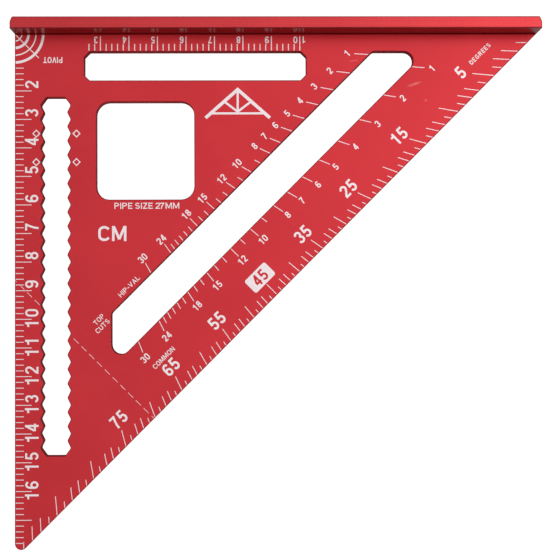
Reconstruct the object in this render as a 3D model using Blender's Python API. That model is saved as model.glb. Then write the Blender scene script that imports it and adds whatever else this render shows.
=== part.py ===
"""Metric speed square, 18 cm: a right-angled aluminium blade with a fence across one leg.

Frame: metres. The origin is the pivot corner, where the blade's square edge meets the fence's inner
face, halfway through the blade. +X runs along the fence, +Y from the blade out through the fence, and
+Z out of the graduated face. The blade is a plate with four openings. Its fence leg ends in a tongue
that sits in a groove along the fence, so that the two together are a T in section.
"""
import math

import bmesh
import bpy
from mathutils import Vector

MM = 0.001

# Blade
LEG = 183.5 * MM                 # pivot corner to where each leg would meet the hypotenuse
BLADE_THICKNESS = 4.2 * MM
TIP_RADIUS = 2.2 * MM
EDGE_BREAK = 0.2 * MM            # chamfer round every outline of the blade

# Fence
FENCE_WIDTH = 25.0 * MM          # along Z, centred on the blade
FENCE_THICKNESS = 4.1 * MM
FENCE_CORNER_RADIUS = 1.3 * MM   # the two outer corners, seen along Z
FENCE_EDGE_RADIUS = 0.45 * MM    # the long edges and the edges of both ends
GROOVE_DEPTH = 2.5 * MM
FIT_GAP = 0.3 * MM               # between the tongue and the groove, all round

# Scribing slot: one notch every 5 mm down both sides, for a pencil point
NOTCH_PITCH = 5.0 * MM
FIRST_NOTCH = 25.0 * MM          # below the fence, as are all the places along -Y that follow
NOTCH_COUNT = 25
SCRIBE_CENTRE = 14.25 * MM
NOTCH_WIDTH = 10.5 * MM          # across the slot, from notch to notch
CREST_WIDTH = 8.0 * MM           # across the slot, from crest to crest
SCRIBE_END_WIDTH = 6.5 * MM
SCRIBE_END_RUN = 2.7 * MM        # from the last notch to the slot's flat end
NOTCH_RADIUS = 0.9 * MM

# Ruler slot, beside the fence's centimetre scale
RULER_LEFT, RULER_RIGHT = 24.3 * MM, 102.1 * MM
RULER_TOP, RULER_BOTTOM = 6.2 * MM, 16.3 * MM
RULER_CHAMFER = 1.9 * MM
RULER_CORNER_RADIUS = 0.6 * MM

# Square window
WINDOW_LEFT, WINDOW_TOP = 28.5 * MM, 23.9 * MM
WINDOW_SIDE = 34.3 * MM
WINDOW_RADIUS = 4.7 * MM

# Rafter slot, parallel to the hypotenuse: its long edges are the lines x - y = RAFTER_INNER and RAFTER_OUTER
RAFTER_INNER, RAFTER_OUTER = 131.8 * MM, 150.7 * MM
RAFTER_LEFT, RAFTER_TOP = 33.75 * MM, 6.2 * MM
RAFTER_POINT_RADIUS = 3.3 * MM
RAFTER_SHOULDER_RADIUS = 1.6 * MM

ARC_STEP = math.radians(24)      # largest turn of one segment of a rounded corner
WELD = 0.001 * MM


def clear_scene():
    for thing in list(bpy.data.objects):
        bpy.data.objects.remove(thing, do_unlink=True)


def new_collection(name):
    collection = bpy.data.collections.new(name)
    bpy.context.scene.collection.children.link(collection)
    return collection


def anodised_material(name, colour, roughness):
    material = bpy.data.materials.new(name)
    material.use_nodes = True
    shader = material.node_tree.nodes["Principled BSDF"]
    shader.inputs["Base Color"].default_value = (*colour, 1.0)
    shader.inputs["Metallic"].default_value = 0.75
    shader.inputs["Roughness"].default_value = roughness
    return material


def rounded(corners):
    """Turn corners (x, y, radius) of a closed outline into its points, with an arc at each radius."""
    points = []
    for i, (x, y, radius) in enumerate(corners):
        corner = Vector((x, y))
        to_last = (Vector(corners[i - 1][:2]) - corner).normalized()
        to_next = (Vector(corners[(i + 1) % len(corners)][:2]) - corner).normalized()
        if radius == 0:
            points.append(corner)
            continue
        half_angle = to_last.angle(to_next) / 2
        centre = corner + (to_last + to_next).normalized() * radius / math.sin(half_angle)
        start = corner + to_last * radius / math.tan(half_angle) - centre
        turn = math.pi - 2 * half_angle
        side = math.copysign(1, to_last.cross(to_next))
        steps = max(2, math.ceil(turn / ARC_STEP))
        for step in range(steps + 1):
            angle = -side * turn * step / steps
            c, s = math.cos(angle), math.sin(angle)
            points.append(centre + Vector((c * start.x - s * start.y, s * start.x + c * start.y)))
    return points


def plate(name, outlines, thickness, edge, edge_segments):
    """A flat 2D curve, filled between its outlines, with its edges chamfered or rounded by edge."""
    curve = bpy.data.curves.new(name, "CURVE")
    curve.dimensions = "2D"
    curve.fill_mode = "BOTH"
    curve.extrude = thickness / 2 - edge
    curve.bevel_depth = edge
    curve.bevel_resolution = edge_segments - 1
    curve.offset = -edge
    for points in outlines:
        spline = curve.splines.new("POLY")
        spline.points.add(len(points) - 1)
        for spline_point, point in zip(spline.points, points):
            spline_point.co = (*point, 0.0, 1.0)
        spline.use_cyclic_u = True
    return bpy.data.objects.new(name, curve)


def as_mesh(curve_object, collection):
    """Replace a curve object by a mesh object with its caps welded on."""
    name = curve_object.name
    bpy.context.scene.collection.objects.link(curve_object)
    evaluated = curve_object.evaluated_get(bpy.context.evaluated_depsgraph_get())
    mesh = bpy.data.meshes.new_from_object(evaluated)
    place = curve_object.matrix_world.copy()
    bpy.data.objects.remove(curve_object, do_unlink=True)
    cleaned = bmesh.new()
    cleaned.from_mesh(mesh)
    bmesh.ops.remove_doubles(cleaned, verts=cleaned.verts, dist=WELD)
    cleaned.to_mesh(mesh)
    cleaned.free()
    mesh.name = name
    solid = bpy.data.objects.new(name, mesh)
    solid.matrix_world = place
    collection.objects.link(solid)
    return solid


def cut_with_box(target, name, low, high, cutters):
    """Cut the box between two corners out of target."""
    low, high = Vector(low), Vector(high)
    bpy.ops.mesh.primitive_cube_add(size=1, location=(low + high) / 2)
    cutter = bpy.context.object
    cutter.name = name
    cutter.scale = high - low
    for home in list(cutter.users_collection):
        home.objects.unlink(cutter)
    cutters.objects.link(cutter)
    cutter.hide_render = True
    cutter.display_type = "WIRE"
    cut = target.modifiers.new(name, "BOOLEAN")
    cut.operation = "DIFFERENCE"
    cut.solver = "EXACT"
    cut.object = cutter


def blade_outline():
    """The triangle and its tongue, with a round tip at the far end of the square edge."""
    tongue = GROOVE_DEPTH - FIT_GAP
    return rounded([
        (0, tongue, 0),
        (0, -LEG, TIP_RADIUS),
        (LEG, 0, 0),
        (LEG, tongue, 0),
    ])


def notched_side(half_notch, half_crest):
    """One side of the scribing slot from top to bottom: notches at every pitch, crests between them."""
    corners = []
    for i in range(NOTCH_COUNT):
        notch = -FIRST_NOTCH - i * NOTCH_PITCH
        corners.append((SCRIBE_CENTRE + half_notch, notch, NOTCH_RADIUS))
        if i < NOTCH_COUNT - 1:
            corners.append((SCRIBE_CENTRE + half_crest, notch - NOTCH_PITCH / 2, NOTCH_RADIUS))
    return corners


def scribe_slot_outline():
    top = -FIRST_NOTCH + SCRIBE_END_RUN
    bottom = -FIRST_NOTCH - (NOTCH_COUNT - 1) * NOTCH_PITCH - SCRIBE_END_RUN
    half_end = SCRIBE_END_WIDTH / 2
    right = notched_side(NOTCH_WIDTH / 2, CREST_WIDTH / 2)
    left = notched_side(-NOTCH_WIDTH / 2, -CREST_WIDTH / 2)
    return rounded(
        [(SCRIBE_CENTRE + half_end, top, RULER_CORNER_RADIUS)] + right
        + [(SCRIBE_CENTRE + half_end, bottom, RULER_CORNER_RADIUS),
           (SCRIBE_CENTRE - half_end, bottom, RULER_CORNER_RADIUS)] + left[::-1]
        + [(SCRIBE_CENTRE - half_end, top, RULER_CORNER_RADIUS)])


def ruler_slot_outline():
    """A long rectangle with its four corners cut off at 45 degrees."""
    left, right, top, bottom = RULER_LEFT, RULER_RIGHT, -RULER_TOP, -RULER_BOTTOM
    cut, r = RULER_CHAMFER, RULER_CORNER_RADIUS
    return rounded([
        (left + cut, top, r), (right - cut, top, r), (right, top - cut, r), (right, bottom + cut, r),
        (right - cut, bottom, r), (left + cut, bottom, r), (left, bottom + cut, r), (left, top - cut, r),
    ])


def window_outline():
    left, right = WINDOW_LEFT, WINDOW_LEFT + WINDOW_SIDE
    top, bottom = -WINDOW_TOP, -WINDOW_TOP - WINDOW_SIDE
    return rounded([(x, y, WINDOW_RADIUS) for x, y in
                    ((left, top), (right, top), (right, bottom), (left, bottom))])


def rafter_slot_outline():
    """Two long edges at 45 degrees, closed by a level end at the top and an upright end at the left."""
    top, left = -RAFTER_TOP, RAFTER_LEFT
    return rounded([
        (RAFTER_INNER + top, top, RAFTER_SHOULDER_RADIUS),
        (RAFTER_OUTER + top, top, RAFTER_POINT_RADIUS),
        (left, left - RAFTER_OUTER, RAFTER_POINT_RADIUS),
        (left, left - RAFTER_INNER, RAFTER_SHOULDER_RADIUS),
    ])


def make_blade(collection, material):
    outlines = [blade_outline(), scribe_slot_outline(), ruler_slot_outline(),
                window_outline(), rafter_slot_outline()]
    blade = as_mesh(plate("blade", outlines, BLADE_THICKNESS, EDGE_BREAK, 1), collection)
    blade.data.materials.append(material)


def make_fence(collection, cutters, material):
    """The bar seen along Z, extruded across the blade, with a groove for the blade's tongue."""
    outline = rounded([
        (0, 0, 0), (LEG, 0, 0),
        (LEG, FENCE_THICKNESS, FENCE_CORNER_RADIUS), (0, FENCE_THICKNESS, FENCE_CORNER_RADIUS),
    ])
    fence = as_mesh(plate("fence", [outline], FENCE_WIDTH, FENCE_EDGE_RADIUS, 3), collection)
    half_groove = BLADE_THICKNESS / 2 + FIT_GAP
    past = 5 * MM
    cut_with_box(fence, "tongue_groove", (-past, -past, -half_groove),
                 (LEG + past, GROOVE_DEPTH, half_groove), cutters)
    fence.data.materials.append(material)


def main():
    clear_scene()
    parts = new_collection("Speed_Square")
    cutters = new_collection("Cutters")
    make_blade(parts, anodised_material("red_anodised_blade", (0.52, 0.03, 0.035), 0.38))
    make_fence(parts, cutters, anodised_material("red_anodised_fence", (0.58, 0.035, 0.04), 0.34))


main()
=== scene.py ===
# %% [markdown]
# # An 18 cm speed square
# A speed square is a right-angled metal triangle, the blade, with a fence across one of its legs. The
# fence hooks over a board's edge, and the blade's edges and scales then mark square cuts, 45 degree
# cuts and any angle between. This one is red anodised aluminium with marks burnt white by a laser.
#
# The CAD model fixes every size, so it is loaded first and each place below is worked out from it.

# %% Load the frame
import math

import bpy
import numpy as np
from mathutils import Matrix, Vector
from mathutils.geometry import delaunay_2d_cdt


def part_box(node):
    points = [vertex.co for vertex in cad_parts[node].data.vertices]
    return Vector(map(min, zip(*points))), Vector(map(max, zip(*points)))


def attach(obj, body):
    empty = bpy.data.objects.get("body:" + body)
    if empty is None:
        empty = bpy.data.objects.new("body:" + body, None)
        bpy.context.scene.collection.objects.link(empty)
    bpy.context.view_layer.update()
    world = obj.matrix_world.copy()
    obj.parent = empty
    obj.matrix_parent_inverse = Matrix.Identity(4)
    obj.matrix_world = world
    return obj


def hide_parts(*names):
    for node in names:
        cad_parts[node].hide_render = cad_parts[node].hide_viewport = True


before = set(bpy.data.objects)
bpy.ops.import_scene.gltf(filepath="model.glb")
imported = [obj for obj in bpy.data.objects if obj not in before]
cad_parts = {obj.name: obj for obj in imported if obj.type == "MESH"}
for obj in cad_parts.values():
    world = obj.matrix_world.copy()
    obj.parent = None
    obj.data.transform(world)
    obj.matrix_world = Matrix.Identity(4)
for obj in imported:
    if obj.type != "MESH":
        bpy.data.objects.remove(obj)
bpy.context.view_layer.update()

MM = 0.001
blade_high = np.array(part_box("blade")[1]) / MM
fence_low, fence_high = (np.array(corner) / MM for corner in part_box("fence"))
LEG = blade_high[0]                    # both legs of the triangle, in millimetres
FACE = blade_high[2]                   # height of the graduated face above the middle plane
FENCE_THICKNESS = fence_high[1]
FENCE_HALF_WIDTH = fence_high[2]
print(f"legs {LEG:.1f} mm, blade {2 * FACE:.1f} mm thick, fence {2 * FENCE_HALF_WIDTH:.1f} mm wide")

# %% [markdown]
# ## The camera
# The square lies flat and is looked at from straight above, from about half a metre. The lens is long,
# 88 mm, so the fence hardly leans. The camera stands off the blade's middle and tilts by about one and
# a half degrees, and that is what shows one wall of each opening and hides the wall across from it.

# %% Place the camera
VIEW_DISTANCE = 480.2                  # millimetres, from the camera to the graduated face
VIEW_CENTRE = (92.72, -86.58, FACE)    # the point of that face in the middle of the picture
VIEW_DIRECTION = (0.0158, 0.0189, -1.0)
VIEW_ROLL = -0.0038                    # radians
LENS = 88.07                           # focal length in millimetres, on a sensor 36 mm wide


def camera_looking_along(direction, target, distance, roll, lens):
    """A camera on the line through target along direction, with +Y up in its picture before the roll."""
    forward = Vector(direction).normalized()
    right = forward.cross(Vector((0, 1, 0))).normalized()
    up = right.cross(forward)
    turn = Matrix((right, up, -forward)).transposed().to_4x4() @ Matrix.Rotation(roll, 4, "Z")
    camera = bpy.data.objects.new("camera", bpy.data.cameras.new("camera"))
    bpy.context.scene.collection.objects.link(camera)
    camera.matrix_world = Matrix.Translation((Vector(target) - forward * distance) * MM) @ turn
    camera.data.lens = lens
    camera.data.sensor_width = 36.0
    camera.data.clip_start, camera.data.clip_end = 0.01, 50.0
    return camera


bpy.context.scene.camera = camera_looking_along(
    VIEW_DIRECTION, VIEW_CENTRE, VIEW_DISTANCE, VIEW_ROLL, LENS)
print("camera at", [round(c / MM, 1) for c in bpy.context.scene.camera.location], "mm")

# %% [markdown]
# ## Shader maths as Python
# A procedural finish is a sum of many small patterns. Placing its Math nodes by hand hides the
# formula, so one small class wraps a socket and turns + - * / into nodes. Everything else that a
# material needs comes from one method that adds a node from its type, its settings and its inputs.

# %% A small shader language
class Wire:
    """A number socket of a node tree. Arithmetic on it adds the Math node that does it."""

    def __init__(self, paint, socket):
        self.paint, self.socket = paint, socket

    def math(self, operation, *values):
        return self.paint.node("Math", {"operation": operation}, dict(enumerate(values)))

    def __add__(self, other):
        return self.math("ADD", self, other)

    def __sub__(self, other):
        return self.math("SUBTRACT", self, other)

    def __rsub__(self, other):
        return self.math("SUBTRACT", other, self)

    def __mul__(self, other):
        return self.math("MULTIPLY", self, other)

    def __truediv__(self, other):
        return self.math("DIVIDE", self, other)

    __radd__, __rmul__ = __add__, __mul__

    def ramp(self, low, high, kind="LINEAR"):
        """This value rescaled so that low gives 0 and high gives 1, and held between them."""
        ends = {"Value": self, "From Min": low, "From Max": high}
        return self.paint.node("MapRange", {"interpolation_type": kind}, ends)


class Paint:
    """The nodes that are added to one tree, which is a material's or the world's."""

    def __init__(self, owner, shader="Principled BSDF"):
        owner.use_nodes = True
        self.owner, self.tree = owner, owner.node_tree
        self.shader = self.tree.nodes[shader]

    def node(self, kind, settings=None, inputs=None, output=0):
        """Add a node. Settings are set first, then each input gets a value or a wire."""
        node = self.tree.nodes.new("ShaderNode" + kind)
        for key, value in (settings or {}).items():
            setattr(node, key, value)
        for key, value in (inputs or {}).items():
            self.feed(node.inputs[key], value)
        return Wire(self, node.outputs[output])

    def feed(self, socket, value):
        if isinstance(value, Wire):
            self.tree.links.new(value.socket, socket)
        else:
            socket.default_value = value

    def set(self, **values):
        """Feed the shader: base_color=..., roughness=... and so on."""
        for key, value in values.items():
            self.feed(self.shader.inputs[key.replace("_", " ").title()], value)

    def place(self, scale=(1, 1, 1)):
        """The point's own place in millimetres, stretched along each axis by scale."""
        place = self.node("TexCoord", output=3)
        stretch = {0: place, 1: tuple(s / MM for s in scale)}
        return self.node("VectorMath", {"operation": "MULTIPLY"}, stretch)

    def along(self, vector, direction):
        """How far vector reaches along direction: their dot product."""
        return self.node("VectorMath", {"operation": "DOT_PRODUCT"}, {0: vector, 1: direction}, output=1)

    def noise(self, scale, stretch=(1, 1, 1), detail=2.0, roughness=0.5):
        """Soft noise between 0 and 1 with about scale bumps a millimetre."""
        inputs = {"Vector": self.place(stretch), "Scale": scale, "Detail": detail, "Roughness": roughness}
        return self.node("TexNoise", {}, inputs)

    def mix(self, amount, first, second):
        """The colour first where amount is 0 and second where it is 1."""
        inputs = {0: amount, 6: first, 7: second}
        return self.node("Mix", {"data_type": "RGBA"}, inputs, output=2)

    def bump(self, height, depth):
        """A normal from height, where a height of 1 stands depth metres proud."""
        return self.node("Bump", {}, {"Height": height, "Distance": depth, "Strength": 1.0})


print("shader language ready")

# %% [markdown]
# ## Red anodised aluminium
# Anodising grows a thin glassy oxide on the metal and soaks it with dye. The metal still mirrors the
# room, so the red is in the reflection: a metallic surface with a red colour, and a satin roughness
# from the etching bath before the dye. Three things keep it from looking like paint. The grain of the
# sheet or the extrusion runs along it as fine lines. The dye takes a little unevenly. And edges that
# have been handled are rubbed a shade paler, as are a few faint scuffs on the face.

# %% Scuffs
# Each scuff's middle, half length and half width in millimetres, and its angle in degrees.
SCUFFS = ((140.2, -17.8, 3.1, 0.6, 18), (144.3, -23.5, 0.6, 0.5, 0), (97.0, -101.5, 3.0, 0.3, 52),
          (50.0, -93.0, 2.2, 0.3, -35), (119.0, -9.5, 2.0, 0.25, 8))


def scuffs(paint):
    """Faint rubs in the oxide, 1 at their middles: each is a long ellipse that fades to its rim.

    In an ellipse's own axes, turned by its angle, the value is 1 - (along / length)^2 - (aside / width)^2.
    """
    place, total = paint.place(), 0.0
    for x, y, length, width, angle in SCUFFS:
        c, s = math.cos(math.radians(angle)), math.sin(math.radians(angle))
        along = (paint.along(place, (c, s, 0)) - (c * x + s * y)) / length
        aside = (paint.along(place, (-s, c, 0)) - (c * y - s * x)) / width
        total = total + (1 - along * along - aside * aside).ramp(0.0, 1.0)
    return total * paint.noise(1.5, detail=3.0).ramp(0.2, 0.5)


print(f"{len(SCUFFS)} scuffs")

# %% Anodised finishes
RUBBED = (0.80, 0.35, 0.34, 1)         # the paler red of rubbed edges and scuffs
EDGE_WEAR, SCUFF_WEAR = 0.2, 0.3       # how far each goes towards it
BUMP_DEPTH = 0.012 * MM


def anodised(name, stretch, die_lines, reds, roughness, seal, grazing):
    """Red anodising: grain is noise stretched by stretch, and die_lines says how deep it reads.

    The tone is half plus a cloud of uneven dye, a fine etch and the grain, each between -0.5 and 0.5
    times its share, and it goes from the first red to the second. Seal is how strongly the clear
    surface of the oxide mirrors, and grazing is the metal's tint at a low angle, where light goes
    through more of the dye.
    """
    paint = Paint(bpy.data.materials.new(name))
    cloud = paint.noise(0.035, detail=3.0)
    etch = paint.noise(5.0, detail=4.0, roughness=0.7)
    grain = paint.noise(1.0, stretch, detail=4.0, roughness=0.65)
    rub = paint.noise(0.6, detail=5.0, roughness=0.75).ramp(0.45, 0.7)
    rim = paint.node("Attribute", {"attribute_name": "rim"}, output=2)
    tone = (cloud - 0.5) * 0.9 + (etch - 0.5) * 0.35 + (grain - 0.5) * (0.5 + die_lines) + 0.5
    dyed = paint.mix(tone.ramp(0.0, 1.0), (*reds[0], 1), (*reds[1], 1))
    worn = rim * rub * EDGE_WEAR
    paint.set(
        base_color=paint.mix(worn + scuffs(paint) * SCUFF_WEAR, dyed, RUBBED),
        metallic=0.9,
        roughness=roughness + (etch - 0.5) * 0.10 + (grain - 0.5) * 0.12 - worn * 0.1,
        normal=paint.bump(etch * 0.35 + grain * (0.3 + die_lines), BUMP_DEPTH),
        specular_tint=grazing,
        coat_weight=seal,
        coat_roughness=0.2,
    )
    return paint.owner


BLADE_REDS = ((0.50, 0.026, 0.034), (0.64, 0.038, 0.048))
FENCE_REDS = ((0.48, 0.022, 0.028), (0.62, 0.038, 0.046))
blade_finish = anodised("red_anodised_blade", stretch=(0.12, 4.0, 4.0), die_lines=0.0, reds=BLADE_REDS,
                        roughness=0.40, seal=0.15, grazing=(0.35, 0.10, 0.12, 1))
fence_finish = anodised("red_anodised_fence", stretch=(0.01, 1.6, 1.6), die_lines=0.9, reds=FENCE_REDS,
                        roughness=0.26, seal=0.4, grazing=(0.22, 0.05, 0.06, 1))
print("finishes:", blade_finish.name, fence_finish.name)

# %% [markdown]
# ## Flat drawings that become solids
# Blade, fence and marks are all flat shapes with straight sides, so one way of making them serves for
# all. A shape is drawn as closed outlines in millimetres. A constrained Delaunay triangulation fills
# them, and where outlines overlap it gives one clean sheet, which a pile of boxes would not. The sheet
# is then given its height by carrying an edge profile round its border.

# %% Fill a drawing with triangles
MERGE = 1e-5                           # millimetres
SHARPEST = 0.2                         # keeps the mitre of a very sharp corner short


def fill(painted, bare=()):
    """Points (n, 2) and triangles (m, 3) that cover the painted outlines but none of the bare ones.

    Points nearer than MERGE become one. Each triangle comes with the outlines that own it, and the bare
    ones have the highest numbers.
    """
    outlines = list(painted) + list(bare)
    corners = np.concatenate(outlines)
    ends = np.cumsum([len(outline) for outline in outlines])
    faces = [range(end - len(outline), end) for end, outline in zip(ends, outlines)]
    inside = 1                         # asks for just the triangles that lie in an outline
    flat = delaunay_2d_cdt([Vector(c) for c in corners.tolist()], [], faces, inside, MERGE)
    points, triangles, owners = flat[0], flat[2], flat[5]
    wanted = [t for t, own in zip(triangles, owners) if own and max(own) < len(painted)]
    return np.array([tuple(p) for p in points]), np.array(wanted)


def border(points, triangles):
    """The directed border edges of a sheet, and each point's outward mitre, which is 0 inside it.

    An edge is on the border if no triangle runs along it the other way. A border point's mitre is the
    sum of its two edges' outward normals, divided by one plus their dot product, so that a step of 1
    along it moves both edges out by 1. The divisor is never less than SHARPEST.
    """
    edges = np.concatenate([triangles[:, [0, 1]], triangles[:, [1, 2]], triangles[:, [2, 0]]])
    key = edges[:, 0] * len(points) + edges[:, 1]
    twin = edges[:, 1] * len(points) + edges[:, 0]
    edges = edges[~np.isin(key, twin)]
    along = points[edges[:, 1]] - points[edges[:, 0]]
    along /= np.linalg.norm(along, axis=1)[:, None]
    outward = np.column_stack([along[:, 1], -along[:, 0]])
    leaving, arriving = np.zeros_like(points), np.zeros_like(points)
    leaving[edges[:, 0]] = outward
    arriving[edges[:, 1]] = outward
    spread = 1 + np.sum(leaving * arriving, axis=1)
    return edges, (leaving + arriving) / np.maximum(spread, SHARPEST)[:, None]


def slab(name, points, triangles, profile, finish, rim=None):
    """A closed solid: the sheet at the profile's first and last rows, and walls along its border.

    Each profile row is (inset, height) in millimetres. Row by row, the border steps in by the inset
    and lies at that height. Walls join neighbouring rows along every border edge.
    """
    edges, mitre = border(points, triangles)
    rows, count = np.array(profile), len(points)
    sheet = points[None] - mitre[None] * rows[:, 0, None, None]
    heights = np.broadcast_to(rows[:, 1, None, None], (len(rows), count, 1))
    vertices = np.concatenate([sheet, heights], axis=2).reshape(-1, 3) * MM
    upper = edges[None] + (np.arange(len(rows) - 1) * count)[:, None, None]
    lower = upper + count
    walls = np.stack([upper[..., 0], lower[..., 0], lower[..., 1], upper[..., 1]], axis=-1).reshape(-1, 4)
    bottom = triangles[:, ::-1] + (len(rows) - 1) * count
    used, renumbered = np.unique(
        np.concatenate([triangles.ravel(), bottom.ravel(), walls.ravel()]), return_inverse=True)
    caps = renumbered[:2 * triangles.size].reshape(-1, 3)
    walls = renumbered[2 * triangles.size:].reshape(-1, 4)
    mesh = bpy.data.meshes.new(name)
    mesh.from_pydata(vertices[used].tolist(), [], caps.tolist() + walls.tolist())
    if rim is not None:
        attribute = mesh.attributes.new("rim", "FLOAT", "POINT")
        attribute.data.foreach_set("value", np.repeat(rim, count)[used].astype(np.float32))
    mesh.materials.append(finish)
    piece = bpy.data.objects.new(name, mesh)
    bpy.context.scene.collection.objects.link(piece)
    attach(piece, "root")
    return piece


def broken_edge_profile(half_height, width, steps=6):
    """Profile rows of a plate whose top and bottom edges are broken by width, and each row's rim value.

    Down the top edge the surface turns from level to upright by 45 (1 + u^3) degrees as u goes from -1
    to 1, so most of it lies at 45 degrees. The steps along it are summed and scaled to the width. The
    bottom edge is its mirror image. Rim is 1 - u^2: 1 in the middle of an edge and 0 at both sides.
    """
    u = np.linspace(-1, 1, steps + 1)
    angle = math.pi / 4 * (1 + ((u[1:] + u[:-1]) / 2) ** 3)
    run = np.concatenate([[0], np.cumsum(np.cos(angle))]) / np.sum(np.cos(angle))
    drop = np.concatenate([[0], np.cumsum(np.sin(angle))]) / np.sum(np.sin(angle))
    top = np.column_stack([width * (1 - run), half_height - width * drop])
    rows = np.concatenate([top, top[::-1] * (1, -1)])
    rim = np.concatenate([1 - u * u, 1 - u * u])
    return rows, rim


print("drawing tools ready")

# %% [markdown]
# ## The blade
# The real blade is sawn or milled from flat stock or an extrusion, and its edges are broken by about
# three tenths of a millimetre. Their slope mirrors the dim horizon, so from above they draw a thin dark
# line round every shape. The outline is a right-angled triangle with a round tip. Four openings go
# through it: a scribing slot with a notch every 5 mm for a pencil point, a ruler slot beside the fence,
# a square window, and a long slot parallel to the hypotenuse. Each corner's arc has a formula, so an
# outline is a short list of corners and radii.

# %% Outlines with rounded corners
def rounded(corners, steps=8):
    """Closed outline through corners (x, y, radius) with an arc of that radius in each.

    The arc's centre is on the corner's bisector, r / sin(h) away, where h is half the corner's angle.
    It starts where the incoming side touches it, r / tan(h) before the corner, and turns by 180 - 2h.
    """
    here, radius = np.array(corners, dtype=float)[:, :2], np.array(corners, dtype=float)[:, 2]
    back, on = np.roll(here, 1, axis=0) - here, np.roll(here, -1, axis=0) - here
    back /= np.linalg.norm(back, axis=1)[:, None]
    on /= np.linalg.norm(on, axis=1)[:, None]
    half = np.arccos(np.sum(back * on, axis=1)) / 2
    centre = here + (back + on) * (radius / np.sin(2 * half))[:, None]
    start = here + back * (radius / np.tan(half))[:, None] - centre
    side = -np.sign(back[:, 0] * on[:, 1] - back[:, 1] * on[:, 0])
    turn = (side * (np.pi - 2 * half))[:, None] * np.linspace(0, 1, steps + 1)
    c, s = np.cos(turn), np.sin(turn)
    arcs = np.stack([c * start[:, :1] - s * start[:, 1:], s * start[:, :1] + c * start[:, 1:]], axis=-1)
    outline = (centre[:, None] + arcs).reshape(-1, 2)
    distinct = np.linalg.norm(outline - np.roll(outline, 1, axis=0), axis=1) > 1e-6
    return outline[distinct]


NOTCH_PITCH, FIRST_NOTCH, NOTCH_COUNT = 5.0, 25.0, 25
SCRIBE_CENTRE = 14.25
NOTCH_REACH, CREST_REACH, END_REACH = 5.25, 4.0, 3.25      # from the slot's middle line, to each side
END_RUN = 2.7                          # from the last notch to the slot's flat end
NOTCH_RADIUS, SLOT_RADIUS = 0.9, 0.6


def scribe_slot():
    """Both sides zigzag between notches and crests, half a pitch apart. The ends are flat."""
    notch = np.arange(2 * NOTCH_COUNT - 1)
    reach = np.where(notch % 2 == 0, NOTCH_REACH, CREST_REACH)
    down = -FIRST_NOTCH - notch * NOTCH_PITCH / 2
    radius = np.full(len(notch), NOTCH_RADIUS)
    right = np.column_stack([SCRIBE_CENTRE + reach, down, radius])
    left = np.column_stack([SCRIBE_CENTRE - reach, down, radius])[::-1]
    near, far = SCRIBE_CENTRE - END_REACH, SCRIBE_CENTRE + END_REACH
    top, bottom = down[0] + END_RUN, down[-1] - END_RUN
    return rounded(np.vstack([
        (far, top, SLOT_RADIUS), right, (far, bottom, SLOT_RADIUS),
        (near, bottom, SLOT_RADIUS), left, (near, top, SLOT_RADIUS)]))[::-1]


SLOT_TOP = -6.2                        # upper edge of the ruler slot and of the rafter slot


def ruler_slot():
    """A long rectangle with its corners cut off at 45 degrees."""
    left, right, top, bottom, cut, r = 24.3, 102.1, SLOT_TOP, -16.3, 1.9, SLOT_RADIUS
    return rounded([(left + cut, top, r), (left, top - cut, r), (left, bottom + cut, r),
                    (left + cut, bottom, r), (right - cut, bottom, r), (right, bottom + cut, r),
                    (right, top - cut, r), (right - cut, top, r)])


def window():
    """A square with round corners."""
    left, top, side, r = 28.5, -23.9, 34.3, 4.7
    return rounded([(left, top, r), (left, top - side, r), (left + side, top - side, r),
                    (left + side, top, r)])


RAFTER_INNER, RAFTER_OUTER = 131.8, 150.7      # x - y on the rafter slot's two long edges


def rafter_slot():
    """Two long edges at 45 degrees, a level end beside the fence and an upright end near the tip."""
    left, top, blunt, sharp = 33.75, SLOT_TOP, 1.6, 3.3    # and the radii of its blunt and sharp corners
    return rounded([(RAFTER_INNER + top, top, blunt), (left, left - RAFTER_INNER, blunt),
                    (left, left - RAFTER_OUTER, sharp), (RAFTER_OUTER + top, top, sharp)])


TIP_RADIUS = 2.2


def blade_outline():
    """The triangle. The fence stands on its upper leg, and only the tip below is round."""
    return rounded([(0, 0, 0), (0, -LEG, TIP_RADIUS), (LEG, 0, 0)])


print(f"scribing slot {len(scribe_slot())} points, ruler slot {len(ruler_slot())}")

# %% The blade
BLADE_BREAK = 0.30                     # how far the blade's edges are broken
openings = [scribe_slot(), ruler_slot(), window(), rafter_slot()]
blade_points, blade_triangles = fill([blade_outline()], openings)
blade_profile, blade_rim = broken_edge_profile(FACE, BLADE_BREAK)
blade = slab("blade_plate", blade_points, blade_triangles, blade_profile, blade_finish, blade_rim)
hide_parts("blade")
print(f"blade: {len(blade.data.vertices)} points, {len(blade.data.polygons)} faces")

# %% [markdown]
# ## The fence
# The fence is a flat bar, 25 mm wide, that stands proud of the blade by the same amount on both sides.
# Seen along Z it is a long thin rectangle whose two outer corners are cut back and eased, so it is made
# just like the blade, only taller and with its edges broken a little wider.

# %% The fence
CUT_ALONG, CUT_ACROSS = 0.75, 1.7      # how far each outer corner is cut back
SIDE_RADIUS, BACK_RADIUS = 1.2, 0.6    # where the cut meets the fence's end and its outer face
FENCE_BREAK = 0.38                     # how far the fence's edges are broken
fence_side = FENCE_THICKNESS - CUT_ACROSS
fence_outline = rounded([(0, 0, 0), (LEG, 0, 0), (LEG, fence_side, SIDE_RADIUS),
                         (LEG - CUT_ALONG, FENCE_THICKNESS, BACK_RADIUS),
                         (CUT_ALONG, FENCE_THICKNESS, BACK_RADIUS), (0, fence_side, SIDE_RADIUS)])
fence_points, fence_triangles = fill([fence_outline])
fence_profile, fence_rim = broken_edge_profile(FENCE_HALF_WIDTH, FENCE_BREAK)
fence = slab("fence_bar", fence_points, fence_triangles, fence_profile, fence_finish, fence_rim)
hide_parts("fence")
print(f"fence: {len(fence.data.vertices)} points, {len(fence.data.polygons)} faces")

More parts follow.
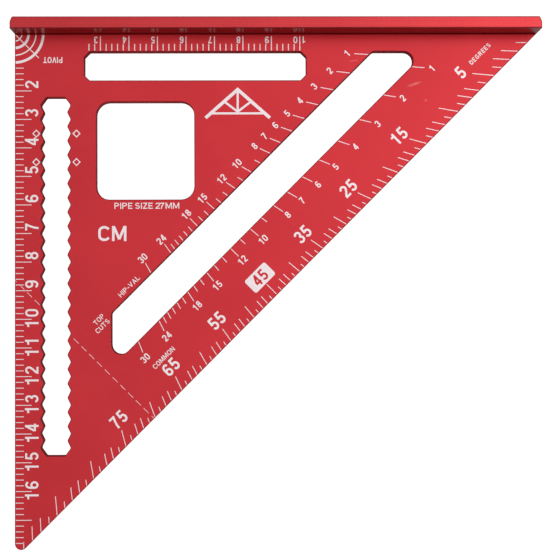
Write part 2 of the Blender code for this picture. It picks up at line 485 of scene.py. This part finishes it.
# %% [markdown]
# ## Lines and letters
# A laser head draws with strokes, so the marks are made of strokes too. A bar is a straight stroke and
# a ribbon is a curved one. Both are rows of quads, and the fill joins the quads that overlap. Digits
# and letters are a few strokes each in a cell one unit high: straight pieces, and bows, which are arcs
# of an ellipse. It is a plain, bold sans serif of this file's own.

# %% Strokes
def bars(start, end, width):
    """Rectangles (n, 4, 2) along the lines from start to end: each end plus and minus half a width."""
    start, end = np.broadcast_arrays(np.atleast_2d(start), np.atleast_2d(end))
    along = (end - start) / np.linalg.norm(end - start, axis=1)[:, None]
    side = np.column_stack([-along[:, 1], along[:, 0]]) * width / 2
    return np.stack([start - side, end - side, end + side, start + side], axis=1)


def ribbon(path, width):
    """Quads (n - 1, 4, 2) along a path. At each joint the two sides are half a width off, mitred."""
    step = np.diff(path, axis=0)
    step /= np.linalg.norm(step, axis=1)[:, None]
    normal = np.column_stack([-step[:, 1], step[:, 0]])
    closed = np.allclose(path[0], path[-1])
    before = np.vstack([normal[-1:] if closed else normal[:1], normal])
    after = np.vstack([normal, normal[:1] if closed else normal[-1:]])
    mitre = (before + after) / (1 + np.sum(before * after, axis=1))[:, None] * width / 2
    left, right = path + mitre, path - mitre
    return np.stack([right[:-1], right[1:], left[1:], left[:-1]], axis=1)


def bow(cx, cy, rx, ry, start, end):
    """Points of an ellipse round (cx, cy) from one angle to another, in degrees, about 18 apart."""
    angle = np.radians(np.linspace(start, end, math.ceil(abs(end - start) / 18) + 1))
    return np.column_stack([cx + rx * np.cos(angle), cy + ry * np.sin(angle)])


def path(*parts):
    """One path through points (x, y) and bows, in order."""
    return np.vstack(parts)


HIGH, LOW = 0.915, 0.085               # middle of a stroke that runs along a letter's top or foot
SIX = (bow(0.29, 0.31, 0.205, 0.225, 0, 360),
       path((0.085, 0.31), (0.085, 0.56), bow(0.31, 0.60, 0.225, 0.315, 180, 35)))
RING = path(bow(0.32, 0.67, 0.235, 0.245, 0, 180), bow(0.32, 0.33, 0.235, 0.245, 180, 360), (0.555, 0.67))
GLYPHS = {
    "0": (path(bow(0.29, 0.67, 0.205, 0.245, 0, 180), bow(0.29, 0.33, 0.205, 0.245, 180, 360),
               (0.495, 0.67)),),
    "1": (path((0.345, 0), (0.345, 1)), path((0.34, 0.835), (0.22, 0.765), (0.06, 0.755))),
    "2": (path(bow(0.29, 0.705, 0.205, 0.21, 175, -30), (0.33, 0.40), (0.14, 0.20), (0.115, 0.04)),
          path((0.03, LOW), (0.53, LOW))),
    "3": (bow(0.285, 0.71, 0.195, 0.205, 165, -85), bow(0.285, 0.30, 0.21, 0.215, 88, -165)),
    "4": (path((0.40, 0.96), (0.07, 0.33)), path((0.02, 0.275), (0.57, 0.275)),
          path((0.405, 0), (0.405, 1))),
    "5": (path((0.10, HIGH), (0.51, HIGH)), path((0.16, 0.97), (0.115, 0.45)),
          bow(0.285, 0.325, 0.21, 0.24, 140, -160)),
    "6": SIX,
    "7": (path((0.03, HIGH), (0.55, HIGH)), path((0.48, 0.93), (0.34, 0.60), (0.25, 0.32), (0.21, 0))),
    "8": (bow(0.29, 0.72, 0.18, 0.195, 0, 360), bow(0.29, 0.30, 0.205, 0.215, 0, 360)),
    "9": tuple((0.58, 1.0) - stroke for stroke in SIX),
    "A": (path((0.08, 0), (0.31, 0.97)), path((0.54, 0), (0.31, 0.97)), path((0.15, 0.29), (0.47, 0.29))),
    "C": (path(bow(0.32, 0.67, 0.235, 0.245, 25, 180), bow(0.32, 0.33, 0.235, 0.245, 180, 335)),),
    "D": (path((0.09, 0), (0.09, 1)),
          path((0.09, HIGH), bow(0.30, 0.66, 0.22, 0.255, 90, 0), bow(0.30, 0.34, 0.22, 0.255, 0, -90),
               (0.09, LOW))),
    "E": (path((0.09, 0), (0.09, 1)), path((0.09, HIGH), (0.50, HIGH)), path((0.09, 0.5), (0.47, 0.5)),
          path((0.09, LOW), (0.51, LOW))),
    "G": (path(bow(0.32, 0.67, 0.235, 0.245, 30, 180), bow(0.32, 0.33, 0.235, 0.245, 180, 360)),
          path((0.33, 0.45), (0.64, 0.45))),
    "H": (path((0.09, 0), (0.09, 1)), path((0.53, 0), (0.53, 1)), path((0.09, 0.5), (0.53, 0.5))),
    "I": (path((0.09, 0), (0.09, 1)),),
    "L": (path((0.09, 0), (0.09, 1)), path((0.09, LOW), (0.49, LOW))),
    "M": (path((0.09, 0), (0.09, 1)), path((0.67, 0), (0.67, 1)), path((0.12, 0.96), (0.38, 0.12)),
          path((0.64, 0.96), (0.38, 0.12))),
    "N": (path((0.09, 0), (0.09, 1)), path((0.55, 0), (0.55, 1)), path((0.12, 0.95), (0.52, 0.05))),
    "O": (RING,),
    "P": (path((0.09, 0), (0.09, 1)),
          path((0.09, HIGH), bow(0.30, 0.70, 0.20, 0.215, 90, -90), (0.09, 0.485))),
    "R": (path((0.09, 0), (0.09, 1)),
          path((0.09, HIGH), bow(0.30, 0.71, 0.20, 0.205, 90, -90), (0.09, 0.505)),
          path((0.32, 0.48), (0.50, 0))),
    "S": (path(bow(0.30, 0.71, 0.19, 0.205, 25, 255), bow(0.30, 0.295, 0.205, 0.21, 85, -155)),),
    "T": (path((0.0, HIGH), (0.56, HIGH)), path((0.28, 0), (0.28, 0.95))),
    "U": (path((0.09, 1), bow(0.305, 0.30, 0.215, 0.215, 180, 360), (0.52, 1)),),
    "V": (path((0.06, 1), (0.29, 0.03)), path((0.52, 1), (0.29, 0.03))),
    "Z": (path((0.03, HIGH), (0.51, HIGH)), path((0.03, LOW), (0.51, LOW)),
          path((0.46, 0.93), (0.08, 0.07))),
    "-": (path((0.03, 0.40), (0.33, 0.40)),),
    " ": (),
}
# A digit's own width, the gaps after a letter and for a space, and the strokes' weight, at height 1.
DIGIT_CELL, LETTER_GAP, WORD_GAP, WEIGHT = 0.58, 0.12, 0.25, 0.165


def lettering(text, middle, height, heading=0, wide=1, weight=WEIGHT, gap=LETTER_GAP, mirrored=False):
    """Quads of a line of text round its middle, read along heading, in degrees from +X.

    Each glyph's strokes are made wide, set after the one before, scaled by height and turned. A
    mirrored line is turned over first, for the reverse face.
    """
    quads, pen = [], 0.0
    for character in text:
        strokes = [ribbon(stroke * (wide, 1), weight) for stroke in GLYPHS[character]]
        if strokes:
            glyph = np.concatenate(strokes)
            quads.append(glyph + (pen, 0))
            pen += DIGIT_CELL if character.isdigit() else glyph[..., 0].max()
            pen += gap
        else:
            pen += WORD_GAP
    quads = (np.concatenate(quads) - ((pen - gap) / 2, 0.5)) * height
    if mirrored:
        quads = quads[:, ::-1] * (-1, 1)
    c, s = math.cos(math.radians(heading)), math.sin(math.radians(heading))
    return middle + quads @ np.array([[c, s], [-s, c]])


print(f"{len(GLYPHS)} glyphs")

# %% [markdown]
# ## The laser's white
# The laser doesn't cut. It burns the dye out of the oxide and leaves a dull white bloom with tiny bright
# specks. Each group of marks is a closed sheet that stands two hundredths of a millimetre above the
# face, enough for it to be a part of its own and too little to be seen or felt.

# %% The marking finish and tool
def laser_white(name):
    """A dull, very slightly pink white with specks of brighter oxide and fainter patches of dye."""
    paint = Paint(bpy.data.materials.new(name))
    specks = paint.noise(9.0, detail=3.0, roughness=0.7)
    patches = paint.noise(0.25, detail=3.0, roughness=0.6)
    depth = (specks - 0.5) * 1.1 + (patches - 0.5) * 0.8 + 0.5
    paint.set(
        base_color=paint.mix(depth.ramp(0.05, 0.95), (0.87, 0.73, 0.76, 1), (0.98, 0.90, 0.92, 1)),
        metallic=0.5,
        roughness=0.42 + (specks - 0.5) * 0.2,
        normal=paint.bump(specks, 0.01 * MM),
    )
    return paint.owner


marking_white = laser_white("laser_marking_white")
MARK_RISE, MARK_DEPTH = 0.02, 0.04     # how far a mark stands proud, and how far it reaches down
TICK, BOLD_TICK, DASH = 0.25, 0.33, 0.15       # widths of lines. Bold ticks are the ones near the fence.
EDGE_MARGIN = BLADE_BREAK + 0.03       # marks stop this far from an edge, just before its facet


def mark(name, painted, bare=(), rise=MARK_RISE, reverse=False):
    """A named group of marks on the graduated face, or on the reverse face."""
    points, triangles = fill(painted, bare)
    top, bottom = FACE + rise, FACE - MARK_DEPTH
    profile = [(0, -bottom), (0, -top)] if reverse else [(0, top), (0, bottom)]
    piece = slab(name, points, triangles, profile, marking_white)
    print(f"{name}: {len(piece.data.polygons)} faces")


# %% [markdown]
# ## Marks round the pivot
# The corner where the fence meets the square edge is the pivot. The square swings on it to set an
# angle, so it gets a target: four rings, every other one bold, with a 45 degree line through them.

# %% Pivot target
RINGS = ((2.5, 0.44), (4.9, 0.90), (7.45, 0.44), (10.0, 0.90))     # each ring's radius and width


def rings():
    """Quarter rings round the pivot, from the square edge to the fence, trimmed short of both."""
    quads = []
    for radius, width in RINGS:
        trim = math.degrees(EDGE_MARGIN / radius)
        angle = np.radians(np.linspace(-90 + trim, -trim, 33))
        quads.append(ribbon(radius * np.column_stack([np.cos(angle), np.sin(angle)]), width))
    return np.concatenate(quads)


pivot_line = bars((0.42, -0.42), (8.45, -8.45), BOLD_TICK)
mark("pivot_target", np.concatenate([rings(), pivot_line]))
mark("pivot_label", lettering("PIVOT", (13.35, -9.15), 2.1, 180, wide=1.08))

# %% [markdown]
# ## The scale on the square edge
# Zero is at the fence, a tick stands every 2 mm, and each centimetre has a longer one. The numerals
# lie on their sides, so they read right when the fence is held to the right. A centimetre tick splits
# a number of two digits: its first digit is on the far side of the tick.

# %% Square edge scale
EDGE_NUMERAL, EDGE_NUMERAL_MIDDLE, EDGE_WEIGHT = 4.75, 5.95, 0.145
EDGE_TICK_REACH, CENTIMETRE_REACH = 3.15, 5.9
BEFORE_TICK, BEYOND_TICK = 2.25, -1.6  # a digit's middle, from its tick towards the fence


def edge_ticks(places, reach):
    """Ticks square to the square edge at these distances from the fence, as far as reach."""
    start = np.column_stack([np.full(len(places), EDGE_MARGIN), -places])
    return bars(start, start + (reach - EDGE_MARGIN, 0), TICK)


def edge_numerals(mirrored=False):
    """2 to 16, with one digit on the fence's side of the tick and any other digit beyond it.

    The numbers read towards the fence, so their last digit is the nearer one. On the reverse face they
    are mirrored and read away from the fence, so their first digit is the nearer one.
    """
    quads = []
    for number in range(2, 17):
        digits = str(number) if mirrored else str(number)[::-1]
        for digit, shift in zip(digits, (BEFORE_TICK, BEYOND_TICK)):
            middle = (EDGE_NUMERAL_MIDDLE, shift - 10 * number)
            quads.append(lettering(digit, middle, EDGE_NUMERAL, 90, weight=EDGE_WEIGHT, mirrored=mirrored))
    return np.concatenate(quads)


edge_places = np.arange(12, 179, 2)
whole = edge_places % 10 == 0
short_edge_ticks = edge_ticks(edge_places[~whole], EDGE_TICK_REACH)
long_edge_ticks = edge_ticks(edge_places[whole], CENTIMETRE_REACH)
mark("square_edge_ticks", short_edge_ticks)
mark("square_edge_centimetre_ticks", long_edge_ticks)
mark("square_edge_numerals", edge_numerals())

# %% [markdown]
# ## The scale beside the fence
# The ruler slot's upper edge is a short ruler of its own, from 2.6 to 10 cm along the fence. Its
# numerals stand on their heads, because it is read with the fence towards the user. Here too, a
# centimetre tick splits the 10 in two.

# %% Fence scale
FENCE_NUMERAL, FENCE_NUMERAL_MIDDLE = 2.4, -2.1
FENCE_TICK_END, FENCE_CENTIMETRE_END = -3.5, -0.8


def fence_ticks(places, end):
    """Ticks at these places along the fence, from the ruler slot's upper edge up to end."""
    foot = np.column_stack([places, np.full(len(places), SLOT_TOP + EDGE_MARGIN)])
    head = np.column_stack([places, np.full(len(places), end)])
    return bars(foot, head, BOLD_TICK)


def fence_numeral(digit, x):
    """A digit that stands on its head, with its middle at x."""
    return lettering(digit, (x, FENCE_NUMERAL_MIDDLE), FENCE_NUMERAL, 180)


fence_places = np.arange(26, 101, 2)
whole = fence_places % 10 == 0
mark("fence_scale_ticks", np.concatenate([fence_ticks(fence_places[~whole], FENCE_TICK_END),
                                          fence_ticks(fence_places[whole], FENCE_CENTIMETRE_END)]))
last_digits = [fence_numeral(str(number)[-1], 10 * number - 1.55) for number in range(3, 11)]
mark("fence_scale_numerals", np.concatenate(last_digits + [fence_numeral("1", 101.35)]))

# %% [markdown]
# ## Marks across the scribing slot
# Two pairs of small diamonds flag the notches at 35 and 45 mm, and a dashed line at 45 degrees to the
# edges crosses the blade below its middle.

# %% Diamonds and the dashed line
def diamond(x, y, reach=1.2, width=0.35):
    """An upright square outline stood on its corner."""
    corners = np.array([(reach, 0), (0, reach), (-reach, 0), (0, -reach), (reach, 0)])
    return ribbon((x, y) + corners, width)


def diagonal(along, across):
    """A place given along the hypotenuse, up and to the right, and across it, away from the pivot."""
    along, across = np.broadcast_arrays(along, across)
    return np.column_stack([(across + along).ravel(), (along - across).ravel()]) / math.sqrt(2)


HYPOTENUSE = LEG / math.sqrt(2)        # how far across the blade it lies
DASH_LINE = -61.0                      # how far along the hypotenuse the dashed line crosses the blade
DASH_PITCH, HALF_DASH = 3.83, 1.25
dash_numbers = np.concatenate([np.arange(-8, -4), np.arange(0, 11)])       # the slot takes the rest
dash_middles = 91.3 + DASH_PITCH * dash_numbers
dash_starts = np.maximum(dash_middles - HALF_DASH, 61.2)
dash_ends = np.minimum(dash_middles + HALF_DASH, HYPOTENUSE - EDGE_MARGIN)
mark("scribing_diamonds", np.concatenate([diamond(x, y) for x in (7.55, 21.6) for y in (-35.0, -45.0)]))
# The dashes cross some ticks of the edge scales, so they stand a hundredth of a millimetre higher.
mark("dashed_45_line", bars(diagonal(DASH_LINE, dash_starts), diagonal(DASH_LINE, dash_ends), DASH),
     rise=MARK_RISE + 0.01)

# %% [markdown]
# ## The degree scale
# A ray from the pivot meets the hypotenuse at each degree from 1 to 89. Every tick lies along its ray,
# so the ticks lean one way near the fence and the other way near the tip. They come in three lengths:
# long at the fives and tens, short next to those, and middling at twos, threes, sevens and eights. The
# angle that is used most, 45, has a white badge with the number left bare in it.

# %% Degree scale
def on_ray(degrees, across):
    """The place on the ray this many degrees below the fence that lies this far across the blade.

    On that line x - y = across sqrt 2, so the distance from the pivot is across sqrt 2 / (cos + sin).
    """
    angle = np.radians(degrees)
    distance = across * math.sqrt(2) / (np.cos(angle) + np.sin(angle))
    return np.column_stack(np.broadcast_arrays(distance * np.cos(angle), -distance * np.sin(angle)))


def ray_ticks(degrees, inner, outer):
    """Ticks along rays between two lines parallel to the hypotenuse, with both ends cut along those.

    A side is half a width off the ray, measured square to it, so along the cut it is half a width
    divided by the sine of the angle between them, which is 45 degrees more than the ray's.
    """
    side = TICK / 2 / np.sin(np.radians(np.asarray(degrees) + 45))
    shift = (side / math.sqrt(2))[:, None] * np.ones(2)
    start, end = on_ray(degrees, inner), on_ray(degrees, outer)
    return np.stack([start - shift, end - shift, end + shift, start + shift], axis=1)


LONG_DEGREE, MIDDLE_DEGREE, SHORT_DEGREE = 5.15, 3.55, 1.75        # how deep the ticks reach
DEGREE_NUMERAL = 4.55
NUMERAL_DEPTHS = {5: 9.36, 15: 8.98, 25: 8.65, 35: 8.65, 55: 8.65, 65: 8.65, 75: 8.65}


def degree_ticks():
    """Ticks for 1 to 89 degrees, longer towards the fence and the tip, where they lean most.

    What is added grows evenly from 0 at 25 degrees to 1.25 mm at the fence, and from 0 at 65 degrees
    to 0.3 mm at the square edge.
    """
    degrees = np.arange(1, 90)
    last = degrees % 10
    fives, middling = last % 5 == 0, np.isin(last, (2, 3, 7, 8))
    reach = np.select([fives, middling], [LONG_DEGREE, MIDDLE_DEGREE], SHORT_DEGREE)
    lean = 1.25 * np.clip((25 - degrees) / 25, 0, 1) + 0.3 * np.clip((degrees - 65) / 25, 0, 1)
    return ray_ticks(degrees, HYPOTENUSE - reach - lean, HYPOTENUSE - EDGE_MARGIN)


def degree_numerals(mirrored=False):
    """5, 15 ... 75 on their own rays, without 45, which has a badge."""
    quads = []
    for number, depth in NUMERAL_DEPTHS.items():
        middle = on_ray(number, HYPOTENUSE - depth)[0]
        quads.append(lettering(str(number), middle, DEGREE_NUMERAL, 45, mirrored=mirrored))
    return np.concatenate(quads)


mark("degree_ticks", degree_ticks())
mark("degree_numerals", degree_numerals())

# %% Badge and label
BADGE_REACH, BADGE_NEAR, BADGE_FAR, BADGE_RADIUS = 4.95, 118.3, 124.15, 0.8
badge_corners = [(-BADGE_REACH, BADGE_FAR), (BADGE_REACH, BADGE_FAR),
                 (BADGE_REACH, BADGE_NEAR), (-BADGE_REACH, BADGE_NEAR)]
badge = rounded([(*diagonal(along, across)[0], BADGE_RADIUS) for along, across in badge_corners])
mark("degree_badge_45", [badge], lettering("45", diagonal(0, 121.2)[0], 4.2, 45, weight=0.18))
mark("degree_label", lettering("DEGREES", diagonal(110.55, 120.6)[0], 1.6, 45, 1.25, 0.18, gap=0.2))

# %% [markdown]
# ## The rafter scales
# Roofers set a rafter's slope as its rise over a run of 12, or of 17 for a hip or valley rafter,
# which runs diagonally (12 times the square root of 2 is about 17). So each number's ray is the arc
# tangent of rise over run. One scale is read on each long edge of the rafter slot.

# %% Rafter scales
RISES = np.array([1, 2, 3, 4, 5, 6, 7, 8, 10, 12, 15, 18, 24, 30])
RISES_BETWEEN = np.array([9, 11, 13, 14, 16, 17, 19, 20, 21, 22, 23])     # these have a short tick only
COMMON_RUN, HIP_RUN = 12, 17
# How far across the blade the long ticks, short ticks and numerals of each scale reach.
HIP_LONG, HIP_SHORT, HIP_NUMERALS = 89.2, 90.8, 87.3
COMMON_LONG, COMMON_SHORT, COMMON_NUMERALS = 110.6, 109.2, 112.6
RAFTER_NUMERAL = 2.5
LABEL, LABEL_WEIGHT = 1.75, 0.155


def slope(rise, run):
    """The angle of a slope in degrees."""
    return np.degrees(np.arctan2(rise, run))


def rise_numerals(run, across):
    """Each rise's number on its own ray, this far across the blade."""
    middles = on_ray(slope(RISES, run), across)
    numerals = zip(RISES, middles)
    return np.concatenate([lettering(str(rise), middle, RAFTER_NUMERAL, 45) for rise, middle in numerals])


def label(text, along, across, wide):
    """A small word that reads along the hypotenuse, with its middle at this place."""
    return lettering(text, diagonal(along, across)[0], LABEL, 45, wide, LABEL_WEIGHT)


print(f"{len(RISES)} numbered rises and {len(RISES_BETWEEN)} between them")

# %% Hip and valley scale
inner_edge = RAFTER_INNER / math.sqrt(2) - EDGE_MARGIN
mark("hip_valley_ticks", np.concatenate([
    ray_ticks(slope(RISES, HIP_RUN), HIP_LONG, inner_edge),
    ray_ticks(slope(RISES_BETWEEN, HIP_RUN), HIP_SHORT, inner_edge)]))
mark("hip_valley_numerals", rise_numerals(HIP_RUN, HIP_NUMERALS))
mark("hip_valley_label", label("HIP-VAL", -34.5, 90.85, 1.45))

# %% Common rafter scale
outer_edge = RAFTER_OUTER / math.sqrt(2) + EDGE_MARGIN
tuck = 0.5 * np.clip((4 - RISES) / 4, 0, 1)    # the lowest rises' marks lie a little nearer the slot
mark("common_rafter_ticks", np.concatenate([
    ray_ticks(slope(RISES, COMMON_RUN), outer_edge, COMMON_LONG - tuck),
    ray_ticks(slope(RISES_BETWEEN, COMMON_RUN), outer_edge, COMMON_SHORT)]))
mark("common_rafter_numerals", rise_numerals(COMMON_RUN, COMMON_NUMERALS - tuck))
mark("common_rafter_label", label("COMMON", -43.65, 117.1, 1.3))
mark("top_cuts_label", np.concatenate([label("TOP", -50.1, 91.6, 1.3), label("CUTS", -50.85, 94.1, 1.35)]))

# %% [markdown]
# ## Notes and emblem
# The window is a gauge for pipe, the scales are in centimetres, and an emblem fills the free corner.
# The emblem is a king-post roof truss, the thing that the tool is used to lay out: two rafters, a tie
# beam, a post and two struts.

# %% Notes and emblem
mark("pipe_note", lettering("PIPE SIZE 27 MM", (46.1, -60.4), 2.15, wide=1.5, weight=LABEL_WEIGHT))
mark("unit_label", lettering("CM", (34.0, -70.1), 5.3, wide=1.35))
RAFTER_STROKE, WEB_STROKE, EAVES = 1.15, 0.75, 1.8         # line widths, and the rafters' run past the beam


def roof_truss(x, y, half_span, rise):
    """Strokes of a king-post truss whose tie beam's middle is at (x, y).

    The rafters go on past the beam at their own slope, so they drop by rise / half_span times that run.
    The beam, the post and the two struts go from each point of starts to the same one of ends.
    """
    eaves, drop = half_span + EAVES, rise * EAVES / half_span
    rafters = np.array([(-eaves, -drop), (0, rise), (eaves, -drop)])
    starts = np.array([(-half_span, 0), (0, 0), (0, 0.6), (0, 0.6)])
    ends = np.array([(half_span, 0), (0, rise), (-half_span / 2, rise / 2), (half_span / 2, rise / 2)])
    web = bars((x, y) + starts, (x, y) + ends, WEB_STROKE)
    return np.concatenate([ribbon((x, y) + rafters, RAFTER_STROKE), web])


mark("roof_truss_emblem", roof_truss(78.1, -28.0, 9.5, 8.4))

# %% [markdown]
# ## The reverse face
# The back of such a square carries scales too, so that it can be used either way up. They are kept to
# the ones that the tool could hardly be without: the pivot, the edge and the degrees. The ticks lie
# under their twins on the front, and each numeral is mirrored, so that it reads right from below.

# %% Marks on the reverse face
mark("reverse_pivot_rings", rings(), reverse=True)
mark("reverse_square_edge_ticks", np.concatenate([short_edge_ticks, long_edge_ticks]), reverse=True)
mark("reverse_square_edge_numerals", edge_numerals(mirrored=True), reverse=True)
mark("reverse_degree_ticks", degree_ticks(), reverse=True)
mark("reverse_degree_numerals", degree_numerals(mirrored=True), reverse=True)

# %% [markdown]
# ## Stage and light
# Metal shows what is above it. An even light overhead gives the blade its red, and a large round glow
# to the right and a little behind makes the red brighter that way. Both fade to a dim horizon, which
# leaves the broken edges, the walls of the openings and the fence's inner face dark and so draws the
# outlines.
#
# The floor is two sheets in one place. The camera sees one, a light table that stays white under the
# tool. The tool sees the other, plain paper that lies in the tool's own shade.

# %% Floor
FLOOR_REACH = 4.0                      # metres from the pivot, each way
FLOOR_HEIGHT = (fence_low[2] - 0.02) * MM      # just under the fence, which the tool stands on


def floor_sheet(name, glow):
    """A flat square sheet of pale paint that gives off a glow of its own."""
    corners = np.array([(-1, -1), (1, -1), (1, 1), (-1, 1)]) * FLOOR_REACH
    mesh = bpy.data.meshes.new(name)
    mesh.from_pydata([(x, y, FLOOR_HEIGHT) for x, y in corners.tolist()], [], [(0, 1, 2, 3)])
    paint = Paint(bpy.data.materials.new(name + "_paint"))
    paint.set(base_color=(0.8, 0.8, 0.8, 1), roughness=0.9,
              emission_color=(1, 1, 1, 1), emission_strength=glow)
    mesh.materials.append(paint.owner)
    sheet = bpy.data.objects.new(name, mesh)
    bpy.context.scene.collection.objects.link(sheet)
    return sheet


light_table = floor_sheet("light_table", 1.0)
light_table.visible_glossy = light_table.visible_diffuse = light_table.visible_shadow = False
paper = floor_sheet("paper", 0.0)
paper.visible_camera = False
print("floor at", round(FLOOR_HEIGHT / MM, 2), "mm")

# %% Sky
HORIZON, OVERHEAD = 0.18, 0.81         # strength of the light low down and high up
RISE_START, RISE_END = 0.2, 0.9        # heights on a sphere of radius 1 between which it grows
GLOW = 2.19                            # how much brighter the round glow's middle is than the rest
GLOW_MIDDLE = (0.4, 0.1, 0.0)          # its place on that sphere, seen from above
GLOW_REACH = 0.5                       # its radius, seen from above


def overhead_light():
    """A world of strength horizon + (overhead - horizon + glow times near) times rise.

    For a direction (x, y, z), rise is a smooth step from 0 at RISE_START to 1 at RISE_END in z. Near is
    a smooth step in (x, y), from 0 at GLOW_REACH from the glow's middle to 1 there.
    """
    sky = Paint(bpy.data.worlds.new("studio"), "Background")
    direction = sky.node("TexCoord")
    rise = sky.along(direction, (0, 0, 1)).ramp(RISE_START, RISE_END, "SMOOTHSTEP")
    level = sky.node("VectorMath", {"operation": "MULTIPLY"}, {0: direction, 1: (1, 1, 0)})
    distance = sky.node("VectorMath", {"operation": "DISTANCE"}, {0: level, 1: GLOW_MIDDLE}, output=1)
    near = distance.ramp(GLOW_REACH, 0.0, "SMOOTHSTEP")
    sky.set(color=(1, 1, 1, 1), strength=rise * (near * GLOW + OVERHEAD - HORIZON) + HORIZON)
    return sky.owner


bpy.context.scene.world = overhead_light()
bpy.context.scene.view_settings.view_transform = "Standard"
print("sky strength from", HORIZON, "to", OVERHEAD + GLOW)
